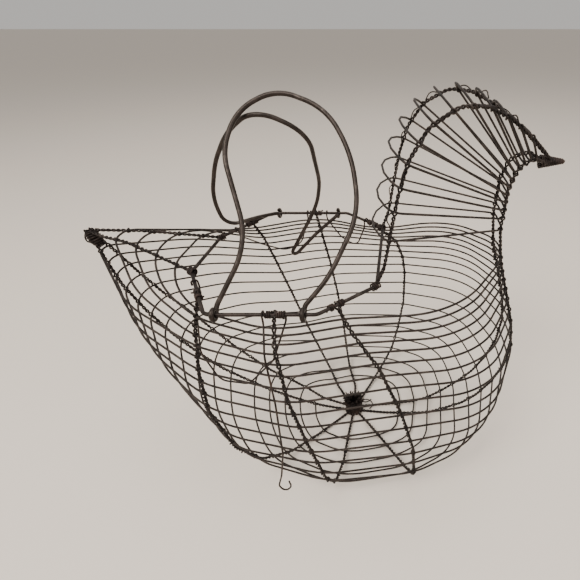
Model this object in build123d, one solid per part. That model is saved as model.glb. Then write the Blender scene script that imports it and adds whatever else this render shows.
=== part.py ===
"""Wire egg basket in the shape of a hen: hoops threaded through twisted stays, and two bail handles.

Frame: millimetres, +Z up, +X towards the head, +Y to the hen's left.
The origin is on the table, under the hub where the stays of the floor meet, until the last step moves the
model so that the origin is at the middle of its footprint.
"""
import os
from math import cos, pi, radians, sin

from build123d import *

os.makedirs("parts", exist_ok=True)

# ---- wire sizes -----------------------------------------------------------------------------------------
hoop_wire = 1.4          # single wire of the hoops and of the floor spiral
stay_wire = 2.6          # outer diameter of a stay, which is two strands twisted together
stay_end_past_rim = 3.0  # a stay's end stands this far past the middle of the rim
rim_wire = 2.4           # single wire round the opening
handle_wire = 3.0        # single wire of each bail handle
tie_wire = 1.1           # wire of the bindings
swag_wire = 1.2          # thin wire that hangs in loops inside the rim

# ---- overall sizes --------------------------------------------------------------------------------------
tail_reach = 173.0       # hub to the tip of the tail
breast_reach = 134.0     # hub to the breast
beak_reach = 151.0       # hub to the tip of the beak
side_reach = 92.0        # hub to the widest part of a side
rim_height = 173.0       # table to the rim
tail_height = 189.0      # table to the tip of the tail
crown_height = 278.0     # table to the top of the head
beak_height = 240.0      # table to the tip of the beak

# ---- rim ------------------------------------------------------------------------------------------------
rim_half_width = 74.0    # half the width of the opening between its straight sides
rim_side_start = -68.0   # the straight sides run from here
rim_side_end = -2.0      # to here
rim_tail_x = -96.0       # corners of the opening at the tail
rim_tail_half = 26.0
rim_neck_x = 31.0        # corners of the opening at the neck
rim_neck_half = 43.5
rim_corner_radius = 7.0
wall_over_rim = 92.0 / 74.0  # side reach over the rim's half width, for which the stays' shares are drawn
# Where the tops of the side stays cross the rim
stay_tops = {
    "right_1": -80.0,
    "right_2": -27.0,
    "right_3": 8.0,
    "left_1": -80.0,
    "left_2": -30.0,
    "left_3": 22.0,
}

# ---- rings and hoops ------------------------------------------------------------------------------------
spiral_turns = 5         # turns of the floor spiral
wall_hoops = 15          # closed hoops of the wall
hoops_over_tail = 4      # top hoops that pass over the tail instead of under it
neck_hoops = 12          # closed hoops of the neck and head
first_ring_share = 0.114  # how far along each stay the first turn of the spiral lies
wide_pitches = 8         # rings that are spaced widely, before the spacing narrows
narrow_pitch = 0.33      # spacing at the rim as a share of the spacing at the floor
last_ring_share = 0.955  # how far along each stay the top hoop lies
first_over_tail = 0.95   # the first hoop over the tail crosses at this share of the stays on top of it
last_under_tail = 0.98   # and the last one under it at this share of the stays below
hoop_bend = 70.0         # largest bend radius of a hoop where it crosses a stay
neck_hoop_bend = 9.0     # the same for the neck
shoulder_bulge = 0.23    # bulge of the hoops beside the breast, as a share of the span
rump_bulge = 0.10        # the same beside the tail
swag_bend = 12.0         # largest bend radius of a hanging wire
hook_tip = 1.5           # a hanging wire's end reaches this far below the middle of the rim
hook_leg = 5.0           # and its other leg runs straight down this far
handle_bend = 80.0       # largest bend radius of a handle
stay_bend = 16.0         # largest bend radius of a stay between two straight runs
neck_loop_depth = 11.0   # how far the neck hoops bulge behind the back stays
neck_loop_lean = 0.07    # how much higher a neck hoop crosses the right back stay, as a share of its length
front_rise = 17.0        # the wall hoops climb this far above the rim at the breast
tie_turns = 2            # turns of binding wire on each side of a stay's top
tie_spacing = 1.15       # pitch of binding turns, in wire diameters
tie_offset = 0.9         # between a stay and the first turn beside it
tie_clearance = 0.12     # between a binding and what it binds
crossing_clearance = 0.05  # gap round a wire that is threaded through a stay
wire_end_gap = 0.2       # between the two ends of a hoop

# ---- hub, tail knot and beak ----------------------------------------------------------------------------
hub_radius = 7.5
hub_height = 14.0
hub_end_radius = 5.6     # the stays end this far from the hub's axis
hub_half_spacing = 2.6   # half the spacing of the front stays, and of the stays under the tail, at the hub
under_tail_lift = 1.0    # the stays under the tail start this much higher than the others
floor_gap = 0.4          # from the table to the underside of the stays on the floor
hub_rounding = 1.2
binding_turns = 3        # turns of wire round the hub, under its top
knot_radius = 4.3
knot_length = 14.0
knot_lean = 18.0         # degrees that the knot leans back from upright, along the stays under the tail
beak_radius = 4.2
beak_length = 16.0
beak_taper = 0.35        # radius of the beak's tip as a share of its base
beak_grip = 0.6          # how far into the beak the stays reach, as a share of its length
end_spacing = 0.75 * stay_wire  # from the middle of the knot or beak to the middle of each stay's end

# ---- bail handles ---------------------------------------------------------------------------------------
hinge_clearance = 0.35   # between the rim and the inside of a handle's eye
eye_spacing = 52.0       # between the two eyes of one handle
eye_centre_x = -36.0
right_handle_tilt = 36.0  # degrees that the handle leans over the opening
left_handle_tilt = 36.0

RIM_Z = rim_height


# =========================================================================================================
# Wire paths
# =========================================================================================================
def corner_turn(before, corner, after):
    """The angle in degrees by which a path turns at one of its points."""
    return (corner - before).get_angle(after - corner)


def simplified(points, closed, least_turn=2.0):
    """The points without those where the path hardly turns."""
    kept = list(points)
    changed = True
    while changed:
        changed = False
        count = len(kept)
        first = 0 if closed else 1
        last = count if closed else count - 1
        for index in range(first, last):
            turn = corner_turn(kept[index - 1], kept[index], kept[(index + 1) % count])
            if turn < least_turn:
                kept.pop(index)
                changed = True
                break
    return kept


def wire_path(points, bend, closed=False):
    """A path of straight runs joined by tangent arcs of the bend radius, or less where a run is short.

    A closed path is one length of wire whose two ends face each other across a small gap.
    """
    nodes = simplified([Vector(*p) for p in points], closed)
    count = len(nodes)
    arcs = []
    corners = range(count) if closed else range(1, count - 1)
    for index in corners:
        corner = nodes[index]
        back = nodes[index - 1] - corner
        ahead = nodes[(index + 1) % count] - corner
        half_turn = radians(180 - back.get_angle(ahead)) / 2
        reach = min(bend * sin(half_turn) / cos(half_turn), 0.46 * min(back.length, ahead.length))
        radius = reach * cos(half_turn) / sin(half_turn)
        middle = (back.normalized() + ahead.normalized()).normalized()
        top = corner + middle * (radius / cos(half_turn) - radius)
        arcs.append((corner + back.normalized() * reach, top, corner + ahead.normalized() * reach))
    edges = []
    if closed:
        last_run = arcs[0][0] - arcs[-1][2]
        middle = (arcs[-1][2] + arcs[0][0]) * 0.5
        start = middle + last_run.normalized() * (wire_end_gap / 2)
        end = middle - last_run.normalized() * (wire_end_gap / 2)
    else:
        start = nodes[0]
        end = nodes[-1]
    position = start
    for first, top, second in arcs:
        edges.append(Edge.make_line(position, first))
        edges.append(Edge.make_three_point_arc(first, top, second))
        position = second
    edges.append(Edge.make_line(position, end))
    return Wire(edges)


def tube(path, diameter):
    """A round wire along a path."""
    section = Plane(origin=path @ 0, z_dir=path % 0) * Circle(diameter / 2)
    return sweep(section, path=path)


def eased(points, bend, before=None, after=None):
    """Corners moved outward, so that the bends, not the corners, pass through the given points.

    Before and after are the neighbours of the first and the last point, unless the points form a ring.
    """
    moved = []
    count = len(points)
    for index, corner in enumerate(points):
        previous = points[index - 1] if index or before is None else before
        following = points[(index + 1) % count] if index < count - 1 or after is None else after
        back = previous - corner
        ahead = following - corner
        half_turn = radians(180 - back.get_angle(ahead)) / 2
        reach = min(bend * sin(half_turn) / cos(half_turn), 0.46 * min(back.length, ahead.length))
        radius = reach * cos(half_turn) / max(sin(half_turn), 0.01)
        outward = (back.normalized() + ahead.normalized()) * -1
        if outward.length > 0.02:
            corner = corner + outward.normalized() * (radius / cos(half_turn) - radius)
        moved.append(corner)
    return moved


# =========================================================================================================
# Stays: each is a list of points from the hub outward, as shares of the overall sizes
# =========================================================================================================
FLOOR_Z = floor_gap + stay_wire / 2


def height(share):
    """A height on the wall: 0 is a stay lying on the floor and 1 is the rim."""
    return FLOOR_Z + (RIM_Z - FLOOR_Z) * share


def wall_reach(up):
    """How far out a share of 1 lies at a height: the side's reach low down, tied to the rim higher up."""
    return side_reach + (rim_half_width * wall_over_rim - side_reach) * up ** 2


def side_stay(name):
    """Points of a stay of the wall, from the hub to just above the rim."""
    side = 1 if name.startswith("left") else -1
    top = stay_tops[name]
    points = []
    for along, across, up in WALL[name]:
        reach = breast_reach if along > 0 else tail_reach
        points.append(Vector(along * reach, side * across * wall_reach(up), height(up)))
    start = points[0]
    level = Vector(start.X, start.Y, 0).normalized() * hub_end_radius
    end = [Vector(top, side * rim_y(top), level_z) for level_z in (RIM_Z, RIM_Z + stay_end_past_rim)]
    return [Vector(level.X, level.Y, FLOOR_Z)] + points + end


def rim_y(x):
    """Half the width of the opening at a place along its straight or slanted sides."""
    if x < rim_side_start:
        share = (x - rim_tail_x) / (rim_side_start - rim_tail_x)
        return rim_tail_half + share * (rim_half_width - rim_tail_half)
    if x > rim_side_end:
        share = (rim_neck_x - x) / (rim_neck_x - rim_side_end)
        return rim_neck_half + share * (rim_half_width - rim_neck_half)
    return rim_half_width


RIM_HALF = [(rim_neck_x, rim_neck_half), (rim_side_end, rim_half_width),
            (rim_side_start, rim_half_width), (rim_tail_x, rim_tail_half)]


def bend_middle(before, corner, after, radius):
    """The middle of the bend that a wire makes at a corner."""
    back = (before - corner).normalized()
    ahead = (after - corner).normalized()
    half_turn = radians(180 - back.get_angle(ahead)) / 2
    return corner + (back + ahead).normalized() * (radius / cos(half_turn) - radius)


def rim_bend(index):
    """The middle of the rim's bend at a corner of its left half, where a stay passes through."""
    points = [Vector(x, y, RIM_Z) for x, y in RIM_HALF]
    corner = points[index]
    beside = points[1] if index == 0 else points[-2]
    return bend_middle(beside, corner, Vector(corner.X, -corner.Y, RIM_Z), rim_corner_radius)


# Side stays: share of the reach along, share of the side's reach across, share of the height
WALL = {
    "right_1": [(-0.17, 0.34, 0.01), (-0.28, 0.55, 0.03), (-0.38, 0.74, 0.12), (-0.45, 0.83, 0.28),
                (-0.50, 0.83, 0.52), (-0.49, 0.80, 0.72), (-0.47, 0.72, 0.90)],
    "left_1": [(-0.11, 0.29, 0.01), (-0.17, 0.51, 0.03), (-0.24, 0.67, 0.12), (-0.31, 0.77, 0.27),
                (-0.37, 0.81, 0.48), (-0.42, 0.79, 0.70), (-0.45, 0.72, 0.88)],
    "right_2": [(-0.01, 0.33, 0.01), (-0.015, 0.63, 0.02), (-0.03, 0.88, 0.06), (-0.05, 1.01, 0.20),
                (-0.09, 1.04, 0.46), (-0.135, 1.00, 0.68), (-0.16, 0.905, 0.89)],
    "left_2": [(-0.01, 0.30, 0.01), (-0.06, 0.58, 0.02), (-0.09, 0.81, 0.08), (-0.11, 0.96, 0.23),
                (-0.13, 1.00, 0.44), (-0.15, 0.99, 0.65), (-0.17, 0.92, 0.86)],
    "right_3": [(0.11, 0.20, 0.01), (0.24, 0.44, 0.01), (0.36, 0.70, 0.04), (0.42, 0.89, 0.12),
                (0.41, 0.96, 0.37), (0.35, 0.96, 0.59), (0.25, 0.91, 0.80), (0.13, 0.82, 0.93)],
    "left_3": [(0.10, 0.31, 0.01), (0.19, 0.60, 0.03), (0.26, 0.76, 0.09), (0.31, 0.87, 0.21),
                (0.355, 0.92, 0.39), (0.365, 0.91, 0.60), (0.35, 0.84, 0.73), (0.31, 0.71, 0.86)],
}

# Front stays, up to the rim's height: share of the breast's reach, half spacing in mm, share of the height
BREAST = [(0.22, 5.0, 0.00), (0.41, 7.0, 0.01), (0.53, 9.0, 0.03), (0.64, 11.0, 0.08), (0.75, 13.5, 0.14),
          (0.84, 14.5, 0.21), (0.92, 15.5, 0.31), (0.98, 16.5, 0.43), (1.00, 17.0, 0.56), (0.98, 17.0, 0.69),
          (0.93, 16.0, 0.84), (0.87, 14.5, 1.00)]
# Throat and lower edge of the head: share of the beak's reach, half spacing, share from rim to crown
THROAT = [(0.75, 13.0, 0.25), (0.76, 12.5, 0.50), (0.79, 11.0, 0.63), (0.86, 8.0, 0.68)]
# Back of the neck and crown, from the opening's corners: the same three values
NAPE = [(0.24, 46.0, 0.14), (0.27, 48.0, 0.37), (0.30, 46.5, 0.58), (0.34, 43.0, 0.76), (0.41, 38.0, 0.91),
        (0.52, 33.0, 1.00), (0.62, 27.0, 0.99), (0.73, 19.0, 0.91), (0.84, 11.0, 0.79)]
# Underside of the tail: share of the tail's reach, half spacing, share of the tail's height
UNDER_TAIL = [(0.17, 4.5, 0.05), (0.25, 7.5, 0.10), (0.34, 9.5, 0.155), (0.44, 10.5, 0.215),
              (0.535, 12.5, 0.295), (0.61, 14.0, 0.36), (0.69, 15.0, 0.45), (0.78, 15.0, 0.565),
              (0.865, 12.5, 0.68), (0.93, 10.0, 0.795), (0.97, 6.0, 0.90)]
# Top of the tail, from the opening's corners to the tip
OVER_TAIL = [(0.72, 16.0, 0.96), (0.84, 9.0, 0.99), (0.93, 5.5, 1.00)]


def mirrored(side, points):
    """The points on the hen's left (1) or right (-1)."""
    return [Vector(x, side * y, z) for x, y, z in points]


def front_stay(side):
    """Points of a stay from the hub along the floor, up the breast and throat, to the beak."""
    points = [(hub_end_radius, hub_half_spacing, FLOOR_Z)]
    points += [(along * breast_reach, across, height(up)) for along, across, up in BREAST]
    rise = crown_height - RIM_Z
    points += [(along * beak_reach, across, RIM_Z + up * rise) for along, across, up in THROAT]
    points += [(beak_reach - beak_grip * beak_length, end_spacing, beak_height - end_spacing)]
    return mirrored(side, points)


def nape_stay(side):
    """Points of a stay from the opening's corner up the back of the neck and over the crown to the beak."""
    rise = crown_height - RIM_Z
    start = rim_bend(0)
    points = [(start.X, start.Y, RIM_Z - stay_end_past_rim), (start.X, start.Y, RIM_Z)]
    points += [(along * beak_reach, across, RIM_Z + up * rise) for along, across, up in NAPE]
    points += [(beak_reach - beak_grip * beak_length, end_spacing, beak_height + end_spacing)]
    return mirrored(side, points)


def under_tail_stay(side):
    """Points of a stay from the hub along the underside of the tail to its tip."""
    points = [(-hub_end_radius, hub_half_spacing, FLOOR_Z + under_tail_lift)]
    points += [(-along * tail_reach, across, FLOOR_Z + up * tail_height) for along, across, up in UNDER_TAIL]
    points += [(-tail_reach, end_spacing, tail_height - end_spacing)]
    return mirrored(side, points)


def over_tail_stay(side):
    """Points of a stay from the opening's corner along the top of the tail to its tip."""
    start = rim_bend(-1)
    points = [(start.X + stay_end_past_rim, start.Y + stay_end_past_rim / 2, RIM_Z)]
    points += [(start.X, start.Y, RIM_Z)]
    points += [(-along * tail_reach, across, up * tail_height) for along, across, up in OVER_TAIL]
    points += [(-tail_reach + 1.0, end_spacing, tail_height + end_spacing)]
    return mirrored(side, points)


stays = {"stay_" + name: side_stay(name) for name in WALL}
stays.update({
    "stay_front_left": front_stay(1),
    "stay_front_right": front_stay(-1),
    "stay_under_tail_left": under_tail_stay(1),
    "stay_under_tail_right": under_tail_stay(-1),
    "stay_over_tail_left": over_tail_stay(1),
    "stay_over_tail_right": over_tail_stay(-1),
    "stay_nape_left": nape_stay(1),
    "stay_nape_right": nape_stay(-1),
})
stay_paths = {name: wire_path(points, stay_bend) for name, points in stays.items()}


def share_at_height(path, level):
    """The share of a front stay's length at which it reaches a height."""
    low = 0.0
    high = 1.0
    for _ in range(40):
        middle = (low + high) / 2
        if (path @ middle).Z < level:
            low = middle
        else:
            high = middle
    return low


# =========================================================================================================
# Rings: where each turn and hoop crosses each stay
# =========================================================================================================
RING_COUNT = spiral_turns + wall_hoops
FRONT_RIM_SHARE = share_at_height(stay_paths["stay_front_left"], RIM_Z)
FRONT_TOP_SHARE = share_at_height(stay_paths["stay_front_left"], RIM_Z + front_rise)


def ring_shares():
    """How far along a stay each ring lies: widely spaced on the floor, closer towards the rim."""
    steps = []
    for ring in range(1, RING_COUNT):
        past = max(0, ring - wide_pitches) / (RING_COUNT - 1 - wide_pitches)
        steps.append(1 - (1 - narrow_pitch) * past)
    unit = (last_ring_share - first_ring_share) / sum(steps)
    shares = [first_ring_share]
    for step in steps:
        shares.append(shares[-1] + unit * step)
    return shares


SHARES = ring_shares()
UNDER_RINGS = RING_COUNT - hoops_over_tail


def share_of(level):
    """The share for a level that may lie between two rings."""
    low = min(int(level), RING_COUNT - 2)
    return SHARES[low] + (level - low) * (SHARES[low + 1] - SHARES[low])


def crossing(name, level):
    """Where the ring at a level crosses a stay; level 0 is the first turn of the spiral."""
    share = share_of(level)
    if name.startswith("stay_front"):
        return stay_paths[name] @ (share * FRONT_TOP_SHARE)
    if name.startswith("stay_under_tail"):
        if level > UNDER_RINGS - 0.5:
            over = name.replace("under", "over")
            step = (RING_COUNT - level) / (hoops_over_tail + 1)
            return stay_paths[over] @ (first_over_tail * step)
        end = share_of(UNDER_RINGS - 0.3)
        return stay_paths[name] @ (last_under_tail * share / end)
    return stay_paths[name] @ share


AROUND = ["stay_under_tail_right", "stay_right_1", "stay_right_2", "stay_right_3", "stay_front_right",
          "stay_front_left", "stay_left_3", "stay_left_2", "stay_left_1", "stay_under_tail_left"]


def bulged(points, names):
    """The crossings with one more point in each long span, bulging away from the hub."""
    result = []
    count = len(points)
    for index, point in enumerate(points):
        result.append(point)
        following = points[(index + 1) % count]
        pair = {names[index], names[(index + 1) % count]}
        bulge = SPAN_BULGE.get(frozenset(pair), 0)
        if bulge:
            span = following - point
            outward = Vector(span.Y, -span.X, 0).normalized()
            result.append((point + following) * 0.5 + outward * (bulge * span.length))
    return result


SPAN_BULGE = {
    frozenset(("stay_right_3", "stay_front_right")): shoulder_bulge,
    frozenset(("stay_left_3", "stay_front_left")): shoulder_bulge,
    frozenset(("stay_right_1", "stay_under_tail_right")): rump_bulge,
    frozenset(("stay_left_1", "stay_under_tail_left")): rump_bulge,
}


def hoop_points(level):
    """Corners of a closed hoop of the wall."""
    return eased(bulged([crossing(name, level) for name in AROUND], AROUND), hoop_bend)


def spiral_points():
    """Corners of the floor spiral, which climbs by one ring spacing in each turn."""
    names = AROUND * spiral_turns
    climb = (spiral_turns - 0.5) / len(names)
    points = [crossing(name, index * climb) for index, name in enumerate(names)]
    return eased(bulged(points, names)[:-1], hoop_bend)


# Shape of a neck hoop behind the back stays: share of the way between them, and share of the depth
NECK_LOOP = [(0.10, 0.52), (0.28, 0.92), (0.50, 1.08), (0.72, 0.92), (0.90, 0.52)]


def neck_points(index):
    """Corners of a closed hoop of the neck or head; it bulges behind the back stays of the neck."""
    share = index / (neck_hoops - 1)
    front = FRONT_RIM_SHARE + (1 - FRONT_RIM_SHARE) * (0.28 + 0.585 * share ** 0.8)
    back = 0.12 + 0.76 * share ** 0.85
    lean = neck_loop_lean * (1 - share) ** 2
    front_left = stay_paths["stay_front_left"] @ front
    front_right = stay_paths["stay_front_right"] @ front
    back_left = stay_paths["stay_nape_left"] @ back
    back_right = stay_paths["stay_nape_right"] @ (back + lean)
    behind = ((back_left + back_right) - (front_left + front_right)).normalized()
    depth = neck_loop_depth * (1 - share ** 3)
    loop = []
    if depth > 1.0:
        across = back_right - back_left
        loop = [back_left + across * along + behind * depth * out for along, out in NECK_LOOP]
    left = eased([front_left, back_left], neck_hoop_bend, front_right, (loop or [back_right])[0])
    right = eased([back_right, front_right], neck_hoop_bend, (loop or [back_left])[-1], front_left)
    return left + loop + right


rings = {"floor_spiral": wire_path(spiral_points(), hoop_bend)}
for hoop in range(wall_hoops):
    rings[f"hoop_{hoop + 1:02d}"] = wire_path(hoop_points(spiral_turns + hoop), hoop_bend, closed=True)
for hoop in range(neck_hoops):
    rings[f"neck_hoop_{hoop + 1:02d}"] = wire_path(neck_points(hoop), neck_hoop_bend, closed=True)


# =========================================================================================================
# Rim, bindings and hanging wires
# =========================================================================================================
def rim_path():
    """The rim: straight sides, shoulders and four tight corners, in one plane."""
    corners = []
    for side, order in ((1, 1), (-1, -1)):
        corners += [Vector(x, side * y, RIM_Z) for x, y in RIM_HALF[::order]]
    return wire_path(corners, rim_corner_radius, closed=True)


def rim_direction(x, side):
    """Unit vector along the rim, towards the head, at a place along a side."""
    ahead = Vector(x + 0.5, side * rim_y(x + 0.5), RIM_Z)
    behind = Vector(x - 0.5, side * rim_y(x - 0.5), RIM_Z)
    return (ahead - behind).normalized()


def ring_round(centre, axis, inner_diameter, wire):
    """One turn of binding wire round something of the inner diameter."""
    turn_radius = (inner_diameter + wire) / 2 + tie_clearance
    return Plane(origin=centre, z_dir=axis) * Torus(turn_radius, wire / 2)


def rim_ties():
    """Turns of wire on both sides of each stay's end, round the rim."""
    turns = []
    for name, x in stay_tops.items():
        side = 1 if name.startswith("left") else -1
        along = rim_direction(x, side)
        centre = Vector(x, side * rim_y(x), RIM_Z)
        rise = centre - stays["stay_" + name][-3]
        lean = abs(rise.dot(along)) / rise.Z
        lean_room = lean * (rim_wire / 2 + tie_wire + tie_clearance)
        for step in range(tie_turns):
            offset = (stay_wire + tie_wire) / 2 + tie_offset + lean_room + tie_wire * tie_spacing * step
            turns.append(ring_round(centre + along * offset, along, rim_wire, tie_wire))
            turns.append(ring_round(centre - along * offset, along, rim_wire, tie_wire))
    return turns


def hook(x, side, outside):
    """Points of a wire's end hooked over the rim; outside is True where the wire then hangs outside."""
    along = rim_direction(x, side)
    toward = Vector(-along.Y, along.X, 0) * -side
    if outside:
        toward = toward * -1
    reach = (rim_wire + swag_wire) / 2 + tie_clearance
    rim_point = Vector(x, side * rim_y(x), RIM_Z)
    up = Vector(0, 0, 1)
    return [rim_point - toward * reach - up * hook_tip, rim_point - toward * reach + up * reach,
            rim_point + toward * reach + up * reach, rim_point + toward * reach - up * hook_leg]


def hanging(side, points):
    """Points of a hanging wire: place along the rim, share of the side's reach, share of the rim's height."""
    return [Vector(x, side * across * wall_reach(up), up * RIM_Z) for x, across, up in points]


def swag(start_x, points, end_x, side):
    """A thin wire hooked over the rim at both ends, hanging inside the wall through the points."""
    return hook(start_x, side, False) + hanging(side, points) + hook(end_x, side, False)[::-1]


swags = {
    "swag_left_1": swag(-88.0, [(-75.0, 0.61, 0.873), (-60.0, 0.717, 0.81), (-46.0, 0.76, 0.838)], -37.0, 1),
    "swag_left_2": swag(-20.0, [(-8.0, 0.76, 0.873), (6.0, 0.685, 0.844)], 16.0, 1),
    "swag_right_1": swag(-88.0, [(-93.0, 0.435, 0.873), (-91.0, 0.60, 0.73), (-77.0, 0.72, 0.64),
                                 (-54.0, 0.80, 0.665), (-33.0, 0.82, 0.80)], -21.0, -1),
    # A loose wire outside the wall, with a small hook at its lower end
    "swag_right_2": hook(-33.5, -1, True) + hanging(-1, [
        (-31.0, 0.99, 0.90), (-28.0, 1.08, 0.72), (-30.0, 1.12, 0.47), (-35.0, 1.12, 0.33),
        (-40.0, 1.105, 0.24), (-36.5, 1.10, 0.20), (-31.0, 1.105, 0.235), (-31.5, 1.11, 0.28)]),
}
swag_paths = {name: wire_path(points, swag_bend) for name, points in swags.items()}
rim_paths = {"rim_wire": rim_path()}


# =========================================================================================================
# Bail handles
# =========================================================================================================
EYE_RADIUS = (rim_wire + handle_wire) / 2 + hinge_clearance
EYE_WRAP = 255.0         # degrees of each eye, short of where it would touch its own leg


def handle_path(side, tilt, outline):
    """A bail with an eye at each end, round the straight side of the rim.

    The outline is in the handle's plane: distance along the rim from the middle of the eyes, distance from
    the rim, and distance off the plane through the rim, towards the inside.
    """
    lean = radians(tilt)
    along = Vector(1, 0, 0)
    upward = Vector(0, -side * sin(lean), cos(lean))
    inward = Vector(0, -side * cos(lean), -sin(lean))
    axis = Vector(eye_centre_x, side * rim_half_width, RIM_Z)

    def place(u, v, w):
        return axis + along * u + upward * v + inward * w

    def eye(u, turn):
        angle = radians(turn)
        return place(u, EYE_RADIUS * sin(angle), EYE_RADIUS * cos(angle))

    first = -eye_spacing / 2
    last = eye_spacing / 2
    foot, heel = place(first, 0, EYE_RADIUS), place(last, 0, EYE_RADIUS)
    inner = [place(*point) for point in outline]
    points = [foot, inner[0]] + eased(inner[1:-1], handle_bend, inner[0], inner[-1]) + [inner[-1], heel]
    start_eye = Edge.make_three_point_arc(eye(first, -EYE_WRAP), eye(first, -EYE_WRAP / 2), points[0])
    end_eye = Edge.make_three_point_arc(points[-1], eye(last, -EYE_WRAP / 2), eye(last, -EYE_WRAP))
    return Wire([start_eye] + list(wire_path(points, handle_bend).edges()) + [end_eye])


def right_outline():
    """Outline of the bail on the hen's right."""
    w = EYE_RADIUS
    first = -eye_spacing / 2
    last = eye_spacing / 2
    return [(first, 5.0, w), (first + 15.5, 43.0, w), (first + 7.0, 80.0, w), (first + 3.0, 98.0, w),
            (first + 12.0, 121.5, w), (first + 34.0, 133.0, w), (last + 10.5, 122.0, w),
            (last + 26.0, 95.0, w), (last + 30.0, 60.0, w), (last + 13.5, 22.0, w), (last, 5.0, w)]


def left_outline():
    """Outline of the bail on the hen's left, bent inward at the tail and down into the opening."""
    w = EYE_RADIUS
    first = -eye_spacing / 2
    last = eye_spacing / 2
    return [(first, 5.0, w), (first - 12.0, 18.5, 15.0), (first - 30.0, 28.0, 26.0),
            (first - 32.0, 52.0, 18.0),
            (first - 20.0, 80.0, 8.0), (first - 3.0, 103.0, w), (first + 21.0, 120.0, w),
            (last - 6.0, 102.0, w), (last - 7.0, 50.0, w), (last - 15.0, 22.0, w + 4.0),
            (last - 42.0, -14.0, 37.0), (last - 20.0, -7.0, 17.0), (last, 2.0, w)]


handle_paths = {
    "handle_right": handle_path(-1, right_handle_tilt, right_outline()),
    "handle_left": handle_path(1, left_handle_tilt, left_outline()),
}


# =========================================================================================================
# Pieces
# =========================================================================================================
pieces = {}
threaded = []
for name, path in rings.items():
    pieces[name] = tube(path, hoop_wire)
    threaded.append(tube(path, hoop_wire + 2 * crossing_clearance))
pieces["rim_wire"] = tube(rim_paths["rim_wire"], rim_wire)
threaded.append(tube(rim_paths["rim_wire"], rim_wire + 2 * crossing_clearance))

hub_core = Pos(0, 0, hub_height / 2 + floor_gap) * Cylinder(hub_radius, hub_height)
hub_core = fillet(hub_core.edges(), hub_rounding)
knot_core = Pos(-tail_reach, 0, tail_height - knot_length / 4) * Rot(0, -knot_lean, 0) * Cylinder(
    knot_radius, knot_length)
knot_core = fillet(knot_core.edges(), knot_radius / 2)
beak_core = Pos(beak_reach - beak_length / 2, 0, beak_height) * Rot(0, 90, 0) * Cone(
    beak_radius, beak_radius * beak_taper, beak_length)

for name, path in stay_paths.items():
    rod = tube(path, stay_wire)
    hub_core = hub_core - rod
    if "tail" in name:
        knot_core = knot_core - rod
    if "front" in name or "nape" in name:
        beak_core = beak_core - rod
    box = rod.bounding_box()
    for wire in threaded:
        other = wire.bounding_box()
        apart = (other.min.X > box.max.X or other.max.X < box.min.X or other.min.Z > box.max.Z
                 or other.max.Z < box.min.Z)
        if not apart:
            rod = rod - wire
    pieces[name] = rod

pieces["hub_core"] = hub_core
pieces["tail_knot"] = knot_core
pieces["beak"] = beak_core
pieces["hub_binding"] = Compound(children=[
    ring_round(Vector(0, 0, floor_gap + hub_height - hub_rounding - tie_wire * (0.5 + turn * tie_spacing)),
               Vector(0, 0, 1), 2 * hub_radius, tie_wire) for turn in range(binding_turns)])
pieces["rim_ties"] = Compound(children=rim_ties())
for name, path in swag_paths.items():
    pieces[name] = tube(path, swag_wire)
for name, path in handle_paths.items():
    pieces[name] = tube(path, handle_wire)

boxes = [shape.bounding_box() for shape in pieces.values()]
lowest = [min(getattr(box.min, letter) for box in boxes) for letter in "XYZ"]
highest = [max(getattr(box.max, letter) for box in boxes) for letter in "XYZ"]
to_origin = Vector(-(lowest[0] + highest[0]) / 2, -(lowest[1] + highest[1]) / 2, -lowest[2])
for name, shape in pieces.items():
    export_step(shape.moved(Location(to_origin)), f"parts/{name}.step")
print("moved by", to_origin)
print("size", [round(high - low, 1) for high, low in zip(highest, lowest)])
for name, path in {**rings, **rim_paths, **swag_paths, **handle_paths}.items():
    wire = {"rim_wire": rim_wire}.get(name, swag_wire if "swag" in name else hoop_wire)
    wire = handle_wire if "handle" in name else wire
    share = pieces[name].volume / (pi * wire * wire / 4 * path.length)
    if abs(share - 1) > 0.002:
        print("volume of", name, round(share, 4))
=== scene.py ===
"""Looks of the wire hen egg basket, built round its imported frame."""

import random
from math import cos, hypot, pi, radians, sin

import bpy
import numpy as np
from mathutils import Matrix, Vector


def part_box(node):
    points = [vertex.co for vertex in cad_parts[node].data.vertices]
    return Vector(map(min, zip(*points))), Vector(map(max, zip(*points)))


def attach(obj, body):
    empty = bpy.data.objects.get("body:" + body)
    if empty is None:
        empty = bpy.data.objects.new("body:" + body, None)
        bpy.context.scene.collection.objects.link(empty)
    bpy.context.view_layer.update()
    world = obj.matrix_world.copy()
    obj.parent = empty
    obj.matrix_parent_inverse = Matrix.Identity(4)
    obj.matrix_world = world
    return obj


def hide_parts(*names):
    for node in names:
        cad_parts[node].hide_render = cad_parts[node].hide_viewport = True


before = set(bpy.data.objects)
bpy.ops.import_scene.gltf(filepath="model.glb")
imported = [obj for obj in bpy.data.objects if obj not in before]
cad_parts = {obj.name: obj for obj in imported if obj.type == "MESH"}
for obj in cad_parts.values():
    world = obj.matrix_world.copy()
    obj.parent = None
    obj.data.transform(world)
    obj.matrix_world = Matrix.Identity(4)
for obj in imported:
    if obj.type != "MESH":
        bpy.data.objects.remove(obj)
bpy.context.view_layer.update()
bpy.ops.object.select_all(action="DESELECT")

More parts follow.
